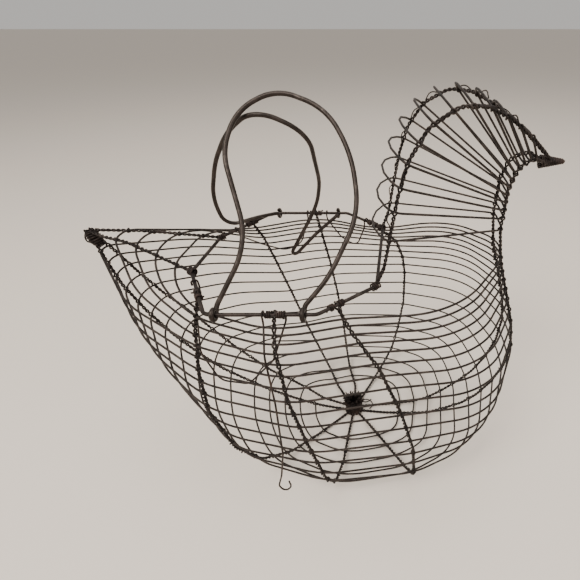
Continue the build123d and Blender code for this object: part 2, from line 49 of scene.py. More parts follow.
# ---- sizes of the basket, in millimetres, from the middle of the hub on the table -----------------------
TAIL_REACH = 173.0
BREAST_REACH = 134.0
BEAK_REACH = 151.0
SIDE_REACH = 92.0
RIM_Z = 173.0
TAIL_HEIGHT = 189.0
CROWN_HEIGHT = 278.0
BEAK_HEIGHT = 240.0
STAY_WIRE = 2.6
RIM_WIRE = 2.4
HOOP_WIRE = 1.4
TIE_WIRE = 1.1
STAY_PAST_RIM = 3.0              # a stay's end stands this far past the middle of the rim
STAY_BEND = 16.0                 # largest bend radius of a stay
LONGEST_BEND = 0.46              # a bend takes up no more than this share of the runs beside it
FLOOR_GAP = 0.4                  # from the table to the underside of the wires
FLOOR_Z = FLOOR_GAP + STAY_WIRE / 2
HUB_END_RADIUS = 5.6             # the stays end this far from the hub's axis
HUB_HALF_SPACING = 2.6           # half the spacing of the front stays, and of those under the tail, there
UNDER_TAIL_LIFT = 1.0            # the stays under the tail start this much higher than the others
BEAK_LENGTH = 16.0
BEAK_GRIP = 0.6                  # how far into the beak the stays reach, as a share of its length
STRAND = STAY_WIRE / 4           # radius of one strand of a stay
HUB_RADIUS = 7.5
HUB_HEIGHT = 14.0
KNOT_RADIUS = 4.3
KNOT_LENGTH = 14.0
KNOT_LEAN = 18.0                 # degrees that the tail knot leans back
BEAK_RADIUS = 4.2
BEAK_TAPER = 0.35                # radius of the beak's tip as a share of its base
FRONT_RISE = 17.0                # the wall hoops climb this far above the rim at the breast
END_SPACING = 0.75 * STAY_WIRE
RIM_CORNER_RADIUS = 7.0
RIM_HALF = [(31.0, 43.5), (-2.0, 74.0), (-68.0, 74.0), (-96.0, 26.0)]

# ---- rings, as they cross the stays ----------------------------------------------------------------------
SPIRAL_TURNS = 5
RING_COUNT = 20
FIRST_SHARE = 0.114
LAST_SHARE = 0.955
WIDE_PITCHES = 8
NARROW_PITCH = 0.33
HOOPS_OVER_TAIL = 4
NECK_HOOPS = 12
NECK_LOOP_LEAN = 0.07            # how much higher a neck hoop crosses the right back stay
FIRST_OVER_TAIL = 0.95           # the first hoop over the tail crosses at this share of the stays on top
LAST_UNDER_TAIL = 0.98           # and the last one under it at this share of the stays below

hub_low, hub_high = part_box("hub_core")
HUB = Vector(((hub_low.x + hub_high.x) / 2, (hub_low.y + hub_high.y) / 2, hub_low.z - FLOOR_GAP / 1000))


def placed(point):
    """A point in the frame, in metres, from millimetres about the hub."""
    return HUB + Vector(point) / 1000


# =========================================================================================================
# Wire paths
# =========================================================================================================
def rounded(points, bend, step=0.4):
    """Even samples along straight runs joined by tangent arcs."""
    nodes = [Vector(p) for p in points]
    line = [nodes[0]]
    for index in range(1, len(nodes) - 1):
        corner = nodes[index]
        back = nodes[index - 1] - corner
        ahead = nodes[index + 1] - corner
        half = (pi - back.angle(ahead)) / 2
        if half < radians(1):
            line.append(corner)
            continue
        reach = min(bend * sin(half) / cos(half), LONGEST_BEND * min(back.length, ahead.length))
        radius = reach * cos(half) / sin(half)
        middle = (back.normalized() + ahead.normalized()).normalized()
        side = (ahead.normalized() - back.normalized()).normalized()
        centre = corner + middle * (radius / cos(half))
        for turn in np.linspace(-half, half, 9):
            line.append(centre - middle * radius * cos(turn) + side * radius * sin(turn))
    line.append(nodes[-1])
    corners = np.array([tuple(p) for p in line])
    lengths = np.concatenate([[0], np.cumsum(np.linalg.norm(np.diff(corners, axis=0), axis=1))])
    places = np.linspace(0, lengths[-1], max(2, int(lengths[-1] / step)))
    return np.stack([np.interp(places, lengths, corners[:, axis]) for axis in range(3)], axis=1), places


def wall_height(share):
    """A height on the wall: 0 is a stay lying on the floor and 1 is the rim."""
    return FLOOR_Z + (RIM_Z - FLOOR_Z) * share


def rim_y(x):
    """Half the width of the opening at a place along it."""
    for (x0, y0), (x1, y1) in zip(RIM_HALF, RIM_HALF[1:]):
        if x1 <= x <= x0:
            return y0 + (x - x0) / (x1 - x0) * (y1 - y0)
    return RIM_HALF[0][1]


def rim_direction(x, side):
    """Unit vector along the rim, towards the head, at a place along a side."""
    ahead = Vector((x + 0.5, side * rim_y(x + 0.5), 0))
    return (ahead - Vector((x - 0.5, side * rim_y(x - 0.5), 0))).normalized()


def rim_bend(index):
    """The middle of the rim's bend at a corner of its left half."""
    corner = Vector((*RIM_HALF[index], RIM_Z))
    beside = RIM_HALF[1] if index == 0 else RIM_HALF[-2]
    back = (Vector((*beside, RIM_Z)) - corner).normalized()
    ahead = (Vector((corner.x, -corner.y, RIM_Z)) - corner).normalized()
    half = (pi - back.angle(ahead)) / 2
    return corner + (back + ahead).normalized() * (RIM_CORNER_RADIUS / cos(half) - RIM_CORNER_RADIUS)


STAY_TOPS = {"right_1": -80.0, "right_2": -27.0, "right_3": 8.0, "left_1": -80.0, "left_2": -30.0,
             "left_3": 22.0}
WALL = {
    "right_1": [(-0.17, 0.34, 0.01), (-0.28, 0.55, 0.03), (-0.38, 0.74, 0.12), (-0.45, 0.83, 0.28),
                (-0.50, 0.83, 0.52), (-0.49, 0.80, 0.72), (-0.47, 0.72, 0.90)],
    "left_1": [(-0.11, 0.29, 0.01), (-0.17, 0.51, 0.03), (-0.24, 0.67, 0.12), (-0.31, 0.77, 0.27),
                (-0.37, 0.81, 0.48), (-0.42, 0.79, 0.70), (-0.45, 0.72, 0.88)],
    "right_2": [(-0.01, 0.33, 0.01), (-0.015, 0.63, 0.02), (-0.03, 0.88, 0.06), (-0.05, 1.01, 0.20),
                (-0.09, 1.04, 0.46), (-0.135, 1.00, 0.68), (-0.16, 0.905, 0.89)],
    "left_2": [(-0.01, 0.30, 0.01), (-0.06, 0.58, 0.02), (-0.09, 0.81, 0.08), (-0.11, 0.96, 0.23),
                (-0.13, 1.00, 0.44), (-0.15, 0.99, 0.65), (-0.17, 0.92, 0.86)],
    "right_3": [(0.11, 0.20, 0.01), (0.24, 0.44, 0.01), (0.36, 0.70, 0.04), (0.42, 0.89, 0.12),
                (0.41, 0.96, 0.37), (0.35, 0.96, 0.59), (0.25, 0.91, 0.80), (0.13, 0.82, 0.93)],
    "left_3": [(0.10, 0.31, 0.01), (0.19, 0.60, 0.03), (0.26, 0.76, 0.09), (0.31, 0.87, 0.21),
                (0.355, 0.92, 0.39), (0.365, 0.91, 0.60), (0.35, 0.84, 0.73), (0.31, 0.71, 0.86)],
}
BREAST = [(0.22, 5.0, 0.00), (0.41, 7.0, 0.01), (0.53, 9.0, 0.03), (0.64, 11.0, 0.08), (0.75, 13.5, 0.14),
          (0.84, 14.5, 0.21), (0.92, 15.5, 0.31), (0.98, 16.5, 0.43), (1.00, 17.0, 0.56), (0.98, 17.0, 0.69),
          (0.93, 16.0, 0.84), (0.87, 14.5, 1.00)]
THROAT = [(0.75, 13.0, 0.25), (0.76, 12.5, 0.50), (0.79, 11.0, 0.63), (0.86, 8.0, 0.68)]
NAPE = [(0.24, 46.0, 0.14), (0.27, 48.0, 0.37), (0.30, 46.5, 0.58), (0.34, 43.0, 0.76), (0.41, 38.0, 0.91),
        (0.52, 33.0, 1.00), (0.62, 27.0, 0.99), (0.73, 19.0, 0.91), (0.84, 11.0, 0.79)]
UNDER_TAIL = [(0.17, 4.5, 0.05), (0.25, 7.5, 0.10), (0.34, 9.5, 0.155), (0.44, 10.5, 0.215),
              (0.535, 12.5, 0.295), (0.61, 14.0, 0.36), (0.69, 15.0, 0.45), (0.78, 15.0, 0.565),
              (0.865, 12.5, 0.68), (0.93, 10.0, 0.795), (0.97, 6.0, 0.90)]
OVER_TAIL = [(0.72, 16.0, 0.96), (0.84, 9.0, 0.99), (0.93, 5.5, 1.00)]


def side_stay(name):
    """Points of a stay of the wall, from the hub to just above the rim."""
    side = 1 if name.startswith("left") else -1
    points = []
    for along, across, up in WALL[name]:
        reach = BREAST_REACH if along > 0 else TAIL_REACH
        points.append(Vector((along * reach, side * across * SIDE_REACH, wall_height(up))))
    level = Vector((points[0].x, points[0].y, 0)).normalized() * HUB_END_RADIUS
    x = STAY_TOPS[name]
    ends = [Vector((x, side * rim_y(x), z)) for z in (RIM_Z, RIM_Z + STAY_PAST_RIM)]
    return [Vector((level.x, level.y, FLOOR_Z))] + points + ends


def mirrored(side, points):
    return [Vector((x, side * y, z)) for x, y, z in points]


def front_stay(side):
    """Points of a stay from the hub, up the breast and throat, to the beak."""
    rise = CROWN_HEIGHT - RIM_Z
    points = [(HUB_END_RADIUS, HUB_HALF_SPACING, FLOOR_Z)]
    points += [(a * BREAST_REACH, b, wall_height(c)) for a, b, c in BREAST]
    points += [(a * BEAK_REACH, b, RIM_Z + c * rise) for a, b, c in THROAT]
    points += [(BEAK_REACH - BEAK_GRIP * BEAK_LENGTH, END_SPACING, BEAK_HEIGHT - END_SPACING)]
    return mirrored(side, points)


def nape_stay(side):
    """Points of a stay from the rim's corner, up the neck and over the crown, to the beak."""
    rise = CROWN_HEIGHT - RIM_Z
    start = rim_bend(0)
    points = [(start.x, start.y, RIM_Z - STAY_PAST_RIM), (start.x, start.y, RIM_Z)]
    points += [(a * BEAK_REACH, b, RIM_Z + c * rise) for a, b, c in NAPE]
    points += [(BEAK_REACH - BEAK_GRIP * BEAK_LENGTH, END_SPACING, BEAK_HEIGHT + END_SPACING)]
    return mirrored(side, points)


def under_tail_stay(side):
    """Points of a stay from the hub along the underside of the tail to its tip."""
    points = [(-HUB_END_RADIUS, HUB_HALF_SPACING, FLOOR_Z + UNDER_TAIL_LIFT)]
    points += [(-a * TAIL_REACH, b, FLOOR_Z + c * TAIL_HEIGHT) for a, b, c in UNDER_TAIL]
    points += [(-TAIL_REACH, END_SPACING, TAIL_HEIGHT - END_SPACING)]
    return mirrored(side, points)


def over_tail_stay(side):
    """Points of a stay from the rim's corner along the top of the tail to its tip."""
    start = rim_bend(-1)
    points = [(start.x + STAY_PAST_RIM, start.y + STAY_PAST_RIM / 2, RIM_Z), (start.x, start.y, RIM_Z)]
    points += [(-a * TAIL_REACH, b, c * TAIL_HEIGHT) for a, b, c in OVER_TAIL]
    points += [(-TAIL_REACH + 1.0, END_SPACING, TAIL_HEIGHT + END_SPACING)]
    return mirrored(side, points)


STAYS = {"stay_" + name: side_stay(name) for name in WALL}
for word, sign in (("left", 1), ("right", -1)):
    STAYS["stay_front_" + word] = front_stay(sign)
    STAYS["stay_under_tail_" + word] = under_tail_stay(sign)
    STAYS["stay_over_tail_" + word] = over_tail_stay(sign)
    STAYS["stay_nape_" + word] = nape_stay(sign)


# =========================================================================================================
# Where rings pass through a stay
# =========================================================================================================
def ring_shares():
    steps = [1 - (1 - NARROW_PITCH) * max(0, ring - WIDE_PITCHES) / (RING_COUNT - 1 - WIDE_PITCHES)
             for ring in range(1, RING_COUNT)]
    unit = (LAST_SHARE - FIRST_SHARE) / sum(steps)
    return FIRST_SHARE + unit * np.concatenate([[0], np.cumsum(steps)])


SHARES = ring_shares()
AROUND = ["stay_under_tail_right", "stay_right_1", "stay_right_2", "stay_right_3", "stay_front_right",
          "stay_front_left", "stay_left_3", "stay_left_2", "stay_left_1", "stay_under_tail_left"]
# the floor spiral climbs by this many ring spacings from one stay to the next
CLIMB = (SPIRAL_TURNS - 0.5) / (len(AROUND) * SPIRAL_TURNS)


def ring_levels(name):
    """The levels at which rings cross a stay of the wall."""
    first = AROUND.index(name)
    spiral = [(first + turn * len(AROUND)) * CLIMB for turn in range(SPIRAL_TURNS)]
    return spiral + [float(level) for level in range(SPIRAL_TURNS, RING_COUNT)]


def share_of(level):
    return float(np.interp(level, range(RING_COUNT), SHARES))


def crossings(name, line, places):
    """How far along a stay each wire passes between its strands, and the radius of that wire."""
    length = places[-1]
    hoop = HOOP_WIRE / 2
    rim = RIM_WIRE / 2
    neck = np.arange(NECK_HOOPS) / (NECK_HOOPS - 1)
    under_end = share_of(RING_COUNT - HOOPS_OVER_TAIL - 0.3)
    if name.startswith("stay_front"):
        rim_place = float(np.interp(RIM_Z, line[:, 2], places))
        top_place = float(np.interp(RIM_Z + FRONT_RISE, line[:, 2], places))
        found = [(share_of(level) * top_place, hoop) for level in ring_levels(name)]
        front = 0.28 + 0.585 * neck ** 0.8
        return found + [(rim_place + (length - rim_place) * share, hoop) for share in front]
    if name.startswith("stay_nape"):
        back = 0.12 + 0.76 * neck ** 0.85
        if name.endswith("right"):
            back = back + NECK_LOOP_LEAN * (1 - neck) ** 2
        return [(STAY_PAST_RIM, rim)] + [(length * share, hoop) for share in back]
    if name.startswith("stay_over_tail"):
        steps = [(RING_COUNT - level) / (HOOPS_OVER_TAIL + 1)
                 for level in range(RING_COUNT - HOOPS_OVER_TAIL, RING_COUNT)]
        over_rim = [(hypot(STAY_PAST_RIM, STAY_PAST_RIM / 2), rim)]
        return over_rim + [(FIRST_OVER_TAIL * s * length, hoop) for s in steps]
    if name.startswith("stay_under_tail"):
        levels = [level for level in ring_levels(name) if level < RING_COUNT - HOOPS_OVER_TAIL]
        return [(LAST_UNDER_TAIL * share_of(level) / under_end * length, hoop) for level in levels]
    found = [(share_of(level) * length, hoop) for level in ring_levels(name)]
    return found + [(length - STAY_PAST_RIM, rim)]


# =========================================================================================================
# Materials
# =========================================================================================================
def group_sockets(tree, inputs, outputs):
    for name, kind, value in inputs:
        socket = tree.interface.new_socket(name=name, in_out="INPUT", socket_type=kind)
        socket.default_value = value
    for name, kind in outputs:
        tree.interface.new_socket(name=name, in_out="OUTPUT", socket_type=kind)


def aged_wire_group():
    """Dark scale on drawn wire: brown blooms and specks in the scale, rubbed spots and small pits."""
    tree = bpy.data.node_groups.new("aged_wire", "ShaderNodeTree")
    group_sockets(tree, [
        ("Scale Colour", "NodeSocketColor", (0.02, 0.015, 0.012, 1)),
        ("Bloom Colour", "NodeSocketColor", (0.05, 0.03, 0.02, 1)),
        ("Rubbed Colour", "NodeSocketColor", (0.1, 0.09, 0.08, 1)),
        ("Bloom Amount", "NodeSocketFloat", 0.5),
        ("Rubbed Amount", "NodeSocketFloat", 0.3),
        ("Smoothness", "NodeSocketFloat", 0.4),
    ], [("Colour", "NodeSocketColor"), ("Roughness", "NodeSocketFloat"), ("Metal", "NodeSocketFloat"),
        ("Height", "NodeSocketFloat")])
    nodes, links = tree.nodes, tree.links
    given = nodes.new("NodeGroupInput")
    result = nodes.new("NodeGroupOutput")
    place = nodes.new("ShaderNodeTexCoord")

    def noise(scale, detail, rough):
        node = nodes.new("ShaderNodeTexNoise")
        node.inputs["Scale"].default_value = scale
        node.inputs["Detail"].default_value = detail
        node.inputs["Roughness"].default_value = rough
        links.new(place.outputs["Object"], node.inputs["Vector"])
        return node.outputs["Fac"]

    def ramp(value, low, high):
        node = nodes.new("ShaderNodeMapRange")
        node.inputs["From Min"].default_value = low
        node.inputs["From Max"].default_value = high
        links.new(value, node.inputs["Value"])
        return node.outputs["Result"]

    def math(kind, first, second):
        node = nodes.new("ShaderNodeMath")
        node.operation = kind
        for socket, value in zip(node.inputs, (first, second)):
            if isinstance(value, (int, float)):
                socket.default_value = value
            else:
                links.new(value, socket)
        return node.outputs["Value"]

    def mix(fac, first, second):
        node = nodes.new("ShaderNodeMix")
        node.data_type = "RGBA"
        links.new(fac, node.inputs[0])
        links.new(first, node.inputs[6])
        links.new(second, node.inputs[7])
        return node.outputs[2]

    blooms = ramp(noise(90.0, 4.0, 0.6), 0.45, 0.68)
    specks = ramp(noise(900.0, 3.0, 0.7), 0.50, 0.72)
    rubs = ramp(noise(160.0, 5.0, 0.65), 0.56, 0.74)
    pits = noise(2600.0, 3.0, 0.6)
    bloom_mask = math("MULTIPLY", math("MAXIMUM", blooms, specks), given.outputs["Bloom Amount"])
    rub_mask = math("MULTIPLY", rubs, given.outputs["Rubbed Amount"])
    colour = mix(bloom_mask, given.outputs["Scale Colour"], given.outputs["Bloom Colour"])
    colour = mix(rub_mask, colour, given.outputs["Rubbed Colour"])
    links.new(colour, result.inputs["Colour"])
    rough = math("SUBTRACT", 0.78, math("MULTIPLY", given.outputs["Smoothness"], 0.5))
    rough = math("ADD", rough, math("MULTIPLY", bloom_mask, 0.25))
    rough = math("SUBTRACT", rough, math("MULTIPLY", rub_mask, 0.25))
    links.new(rough, result.inputs["Roughness"])
    metal = math("SUBTRACT", 0.75, math("MULTIPLY", bloom_mask, 0.6))
    links.new(metal, result.inputs["Metal"])
    links.new(math("ADD", pits, math("MULTIPLY", specks, 0.5)), result.inputs["Height"])
    return tree


aged_wire = aged_wire_group()


def wire_material(name, scale, bloom, rubbed, bloom_amount, rubbed_amount, smoothness, depth):
    material = bpy.data.materials.new(name)
    material.use_nodes = True
    nodes, links = material.node_tree.nodes, material.node_tree.links
    shader = nodes["Principled BSDF"]
    group = nodes.new("ShaderNodeGroup")
    group.node_tree = aged_wire
    values = {"Scale Colour": (*scale, 1), "Bloom Colour": (*bloom, 1), "Rubbed Colour": (*rubbed, 1),
              "Bloom Amount": bloom_amount, "Rubbed Amount": rubbed_amount, "Smoothness": smoothness}
    for key, value in values.items():
        group.inputs[key].default_value = value
    bump = nodes.new("ShaderNodeBump")
    bump.inputs["Strength"].default_value = 0.35
    bump.inputs["Distance"].default_value = depth
    links.new(group.outputs["Colour"], shader.inputs["Base Color"])
    links.new(group.outputs["Roughness"], shader.inputs["Roughness"])
    links.new(group.outputs["Metal"], shader.inputs["Metallic"])
    links.new(group.outputs["Height"], bump.inputs["Height"])
    links.new(bump.outputs["Normal"], shader.inputs["Normal"])
    return material


MATERIALS = {
    "handle_wire": wire_material("handle_wire", (0.024, 0.018, 0.015), (0.055, 0.037, 0.028),
                                 (0.15, 0.125, 0.108), 0.55, 0.35, 0.72, 0.00008),
    "rim_wire": wire_material("rim_wire", (0.019, 0.014, 0.012), (0.052, 0.034, 0.026),
                              (0.13, 0.11, 0.095), 0.6, 0.36, 0.60, 0.00008),
    "hoop_wire": wire_material("hoop_wire", (0.017, 0.013, 0.011), (0.050, 0.033, 0.025),
                               (0.13, 0.11, 0.095), 0.6, 0.36, 0.60, 0.00005),
    "twisted_wire": wire_material("twisted_wire", (0.012, 0.009, 0.008), (0.044, 0.028, 0.022),
                                  (0.12, 0.10, 0.088), 0.6, 0.33, 0.52, 0.00006),
    "binding_wire": wire_material("binding_wire", (0.014, 0.010, 0.009), (0.062, 0.036, 0.026),
                                  (0.13, 0.105, 0.09), 0.65, 0.3, 0.48, 0.00006),
}


# =========================================================================================================
# Making wire
# =========================================================================================================
def wires(name, lines, radius, slot, body="basket", sides=1):
    """One piece of one or more round wires. Each line is a list of points in millimetres about the hub."""
    data = bpy.data.curves.new(name, "CURVE")
    data.dimensions = "3D"
    data.bevel_depth = radius / 1000
    data.bevel_resolution = sides
    data.use_fill_caps = True
    for line in lines:
        spline = data.splines.new("POLY")
        spline.points.add(len(line) - 1)
        for point, target in zip(spline.points, line):
            point.co = (*placed(target), 1)
    piece = bpy.data.objects.new(name, data)
    bpy.context.scene.collection.objects.link(piece)
    bpy.ops.object.select_all(action="DESELECT")
    piece.select_set(True)
    bpy.context.view_layer.objects.active = piece
    bpy.ops.object.convert(target="MESH")
    piece = bpy.context.view_layer.objects.active
    piece.name = name
    bpy.ops.object.shade_smooth()
    piece.data.materials.clear()
    piece.data.materials.append(MATERIALS[slot])
    piece.select_set(False)
    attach(piece, body)
    return piece


def frame_along(line, inside):
    """Unit vectors along a line, away from the inside of the basket, and across both."""
    along = np.gradient(line, axis=0)
    along /= np.linalg.norm(along, axis=1)[:, None]
    away = line - inside
    away -= (away * along).sum(1)[:, None] * along
    away /= np.linalg.norm(away, axis=1)[:, None]
    return along, away, np.cross(along, away)


def inside_points(line):
    """A point inside the basket level with each point of a line: in the body, or in the neck."""
    inside = np.tile([0.0, 0.0, 110.0], (len(line), 1))
    neck = np.clip((line[:, 2] - RIM_Z + 15) / 30, 0, 1) * (line[:, 0] > 0)
    centre = np.stack([np.full(len(line), 80.0), np.zeros(len(line)), np.minimum(line[:, 2], 232.0)], axis=1)
    return inside + (centre - inside) * neck[:, None]


HALF_TWIST = 3.2                 # length of half a turn of the two strands
STRAND_SPACING = 1.02            # from a stay's middle to each strand's, in strand radii
OPENING_EASE = 0.35              # the strands start to part this far before a wire that passes between them
OPENING_ROOM = 0.02              # and leave this gap to it


def twisted_stay(name, seed):
    """Two strands twisted together, opening round each wire that passes between them."""
    line, places = rounded(STAYS[name], STAY_BEND)
    along, away, across = frame_along(line, inside_points(line))
    passed = sorted(crossings(name, line, places))
    stops = [0.0]
    turns = [0.0]
    for place, _ in passed:
        gap = place - stops[-1]
        turns.append(turns[-1] + max(1, round(gap / HALF_TWIST)) if len(stops) > 1 else 0.0)
        stops.append(place)
    stops[0] = stops[1] - HALF_TWIST * max(1, round(stops[1] / HALF_TWIST))
    turns[0] = -float(max(1, round(stops[1] / HALF_TWIST)))
    tail = max(1, round((places[-1] - stops[-1]) / HALF_TWIST))
    stops.append(stops[-1] + tail * HALF_TWIST)
    turns.append(turns[-1] + tail)
    angle = pi * np.interp(places, stops, turns)
    offset = np.full(len(places), STRAND * STRAND_SPACING)
    for place, wire in passed:
        near = np.exp(-((places - place) / (wire + OPENING_EASE)) ** 2)
        offset = np.maximum(offset, STRAND * STRAND_SPACING + near * (wire + OPENING_ROOM))
    draw = random.Random(seed)
    waves = [(draw.uniform(0, 2 * pi), draw.uniform(14, 40), draw.uniform(0.02, 0.08)) for _ in range(4)]
    loose = sum(size * np.sin(places * 2 * pi / length + start) for start, length, size in waves)
    offset = offset * (1 + np.clip(loose, -0.05, 0.3))
    lines = []
    for half in (0, pi):
        strand = line + offset[:, None] * (away * np.cos(angle + half)[:, None]
                                           + across * np.sin(angle + half)[:, None])
        strand[:, 2] = np.maximum(strand[:, 2], STRAND + FLOOR_GAP)
        lines.append(strand)
    piece = wires(name + "_twisted", lines, STRAND, "twisted_wire")
    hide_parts(name)
    return piece


for seed, name in enumerate(sorted(STAYS)):
    twisted_stay(name, seed)

# =========================================================================================================
# Hub, tail knot, beak and rim bindings
# =========================================================================================================
TIE_PITCH = 1.15                 # from one turn of binding to the next, in wire diameters
STRAY_STRAND = 0.42              # radius of a thin strand that stands off a stay


def winding(centre, axis, start, turns, radius, pitch, wobble, draw, steps=14):
    """Points of a wire wound unevenly round an axis. Radius is a number or a function of the share."""
    axis = Vector(axis).normalized()
    side = axis.orthogonal().normalized()
    other = axis.cross(side)
    first = draw.uniform(0, 2 * pi)
    points = []
    count = int(turns * steps) + 1
    drift = 0.0
    for index in range(count):
        share = index / (count - 1)
        size = radius(share) if callable(radius) else radius
        size += wobble * sin(index * 0.9 + first) * 0.5
        drift += draw.uniform(-wobble, wobble) * 0.12
        angle = first + 2 * pi * index / steps
        along = start + pitch * index / steps + drift
        points.append(Vector(centre) + axis * along + (side * cos(angle) + other * sin(angle)) * size)
    return points


def free_end(points, out, length, draw):
    """The points with a short free end added, which bends away from the winding."""
    last = points[-1]
    ahead = (points[-1] - points[-2]).normalized()
    out = Vector(out).normalized()
    bent = []
    for step in range(1, 6):
        share = step / 5
        bent.append(last + ahead * length * share * (1 - 0.5 * share) + out * length * 0.6 * share ** 1.5
                    + Vector((0, 0, draw.uniform(-0.1, 0.1))))
    return points + bent


HUB_FOOT = 1.6                   # the lower ends of the outermost wires of the hub bend out this far
CURL_TURN = 400                  # degrees that the loose wire beside the hub curls through
BINDING_BELOW_TOP = 4.4          # the hub's binding starts this far below its top
BINDING_TURNS = 3.2


def hub_bundle():
    """The strands of the stays turn up at the hub and stand in a bound bundle, their cut ends spread."""
    draw = random.Random(71)
    upright = []
    layers = [(1.0, 30), (3.2, 22), (5.4, 14)]      # strand radii in from the outside, and wires in the layer
    for depth, count in layers:
        ring = HUB_RADIUS - depth * STRAND
        for index in range(count):
            angle = 2 * pi * (index + draw.uniform(-0.2, 0.2)) / count
            out = Vector((cos(angle), sin(angle), 0))
            across = Vector((-sin(angle), cos(angle), 0))
            top = HUB_HEIGHT + draw.uniform(-2.0, 1.0)
            spread = draw.uniform(0.2, 4.6)
            sway = draw.uniform(-2.4, 2.4)
            rise = draw.uniform(0.8, 4.2)
            foot = HUB_FOOT if depth == layers[0][0] else 0.0
            upright.append([
                out * (ring + foot) + Vector((0, 0, FLOOR_GAP + STRAND)),
                out * (ring + foot * 0.25) + Vector((0, 0, FLOOR_GAP + STRAND + 1.0)),
                out * ring + Vector((0, 0, 3.5)),
                out * (ring + draw.uniform(-0.15, 0.15)) + Vector((0, 0, 0.6 * top)),
                out * ring + Vector((0, 0, top)),
                out * (ring + 0.3 * spread) + across * sway * 0.3 + Vector((0, 0, top + 0.5 * rise)),
                out * (ring + spread) + across * sway + Vector((0, 0, top + rise)),
            ])
    bundle = wires("hub_bundle", upright, STRAND, "binding_wire")
    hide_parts("hub_core")
    curl = []
    for index in range(25):
        angle = radians(-70 + CURL_TURN * index / 24)
        rise = 1.0 + 0.5 * index
        curl.append(Vector((HUB_RADIUS + 5.5 + 4.5 * cos(angle), 3.0 + 3.6 * sin(angle), FLOOR_GAP + rise)))
    wires("hub_loose_curl", [curl], TIE_WIRE / 2, "binding_wire")
    turns = winding((0, 0, 0), (0, 0, 1), HUB_HEIGHT - BINDING_BELOW_TOP, BINDING_TURNS,
                    HUB_RADIUS + TIE_WIRE / 2, TIE_WIRE * 1.1, 0.25, draw, steps=28)
    turns = free_end(turns, (0.4, 1, 0.3), 6.0, draw)
    binding = wires("hub_binding_turns", [turns], TIE_WIRE / 2, "binding_wire")
    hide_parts("hub_binding")


KNOT_INNER_TURNS = 11
KNOT_OUTER_TURNS = 6
KNOT_OUTER_STEP = 0.75           # the outer winding lies this far outside the inner one
KNOT_END_RING = 2.0              # the stays' ends stand on a ring of this radius inside the knot


def tail_winding():
    """The ends of the tail's stays, bound by a wire wound over them twice, with loops left standing out."""
    draw = random.Random(17)
    lean = radians(KNOT_LEAN)
    axis = Vector((-sin(lean), 0, cos(lean)))
    centre = Vector((-TAIL_REACH, 0, TAIL_HEIGHT - KNOT_LENGTH / 4))
    radius = KNOT_RADIUS - TIE_WIRE / 2

    def barrel(share):
        return radius * (0.72 + 0.28 * sin(pi * share))

    inner = winding(centre, axis, -0.46 * KNOT_LENGTH, KNOT_INNER_TURNS, barrel,
                    0.92 * KNOT_LENGTH / KNOT_INNER_TURNS, 0.35, draw)
    outer = winding(centre + axis * 0.3, axis, 0.38 * KNOT_LENGTH, KNOT_OUTER_TURNS,
                    lambda share: barrel(share) + KNOT_OUTER_STEP,
                    -0.7 * KNOT_LENGTH / KNOT_OUTER_TURNS, 0.9, draw)
    outer = free_end(outer, (-1, 0.3, -0.4), 5.0, draw)
    core = []
    for index in range(6):
        angle = 2 * pi * index / 6
        side = axis.orthogonal().normalized()
        spot = side * cos(angle) * KNOT_END_RING + axis.cross(side) * sin(angle) * KNOT_END_RING
        core.append([centre + spot - axis * 0.45 * KNOT_LENGTH, centre + spot,
                     centre + spot * 1.1 + axis * (0.47 * KNOT_LENGTH + draw.uniform(0, 1.5))])
    loop = []
    for index in range(15):
        angle = radians(-100 + 220 * index / 14)
        loop.append(centre + Vector((-3.2 - 3.6 * cos(angle), 1.2 * sin(2 * angle), 1.0 + 4.4 * sin(angle))))
    piece = wires("tail_knot_windings", [inner, outer, loop], TIE_WIRE / 2, "binding_wire")
    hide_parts("tail_knot")
    wires("tail_knot_ends", core, STRAND, "twisted_wire")


BEAK_TURNS = 13


def beak_winding():
    """The ends of the stays of the neck, drawn together and wound to a point."""
    draw = random.Random(29)
    base = Vector((BEAK_REACH - BEAK_LENGTH, 0, BEAK_HEIGHT))
    wound = winding(base, (1, 0, 0), 0.5, BEAK_TURNS,
                    lambda share: BEAK_RADIUS * (1 - (1 - BEAK_TAPER) * share) - TIE_WIRE / 2 + 0.4,
                    (BEAK_LENGTH - 1.0) / BEAK_TURNS, 0.2, draw)
    core = []
    for index in range(7):
        angle = 2 * pi * index / 7
        spot = Vector((0, cos(angle), sin(angle)))
        wide = 0.6 * BEAK_RADIUS
        core.append([base + spot * wide, base + spot * wide * 0.7 + Vector((0.5 * BEAK_LENGTH, 0, 0)),
                     base + spot * wide * 0.25 + Vector((BEAK_LENGTH + draw.uniform(-0.4, 0.6), 0, 0))])
    piece = wires("beak_windings", [wound], TIE_WIRE / 2, "binding_wire")
    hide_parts("beak")
    wires("beak_ends", core, STRAND, "twisted_wire")


RIM_TURNS = 2.6                  # turns of binding on each side of a stay's top
RIM_TURN_STEPS = 14              # points in each of those turns
RIM_STAY_ROOM = 0.5              # from a stay to the first turn beside it
CROSSING_LIFT = 1.5              # how far the binding stands off where it crosses over a stay


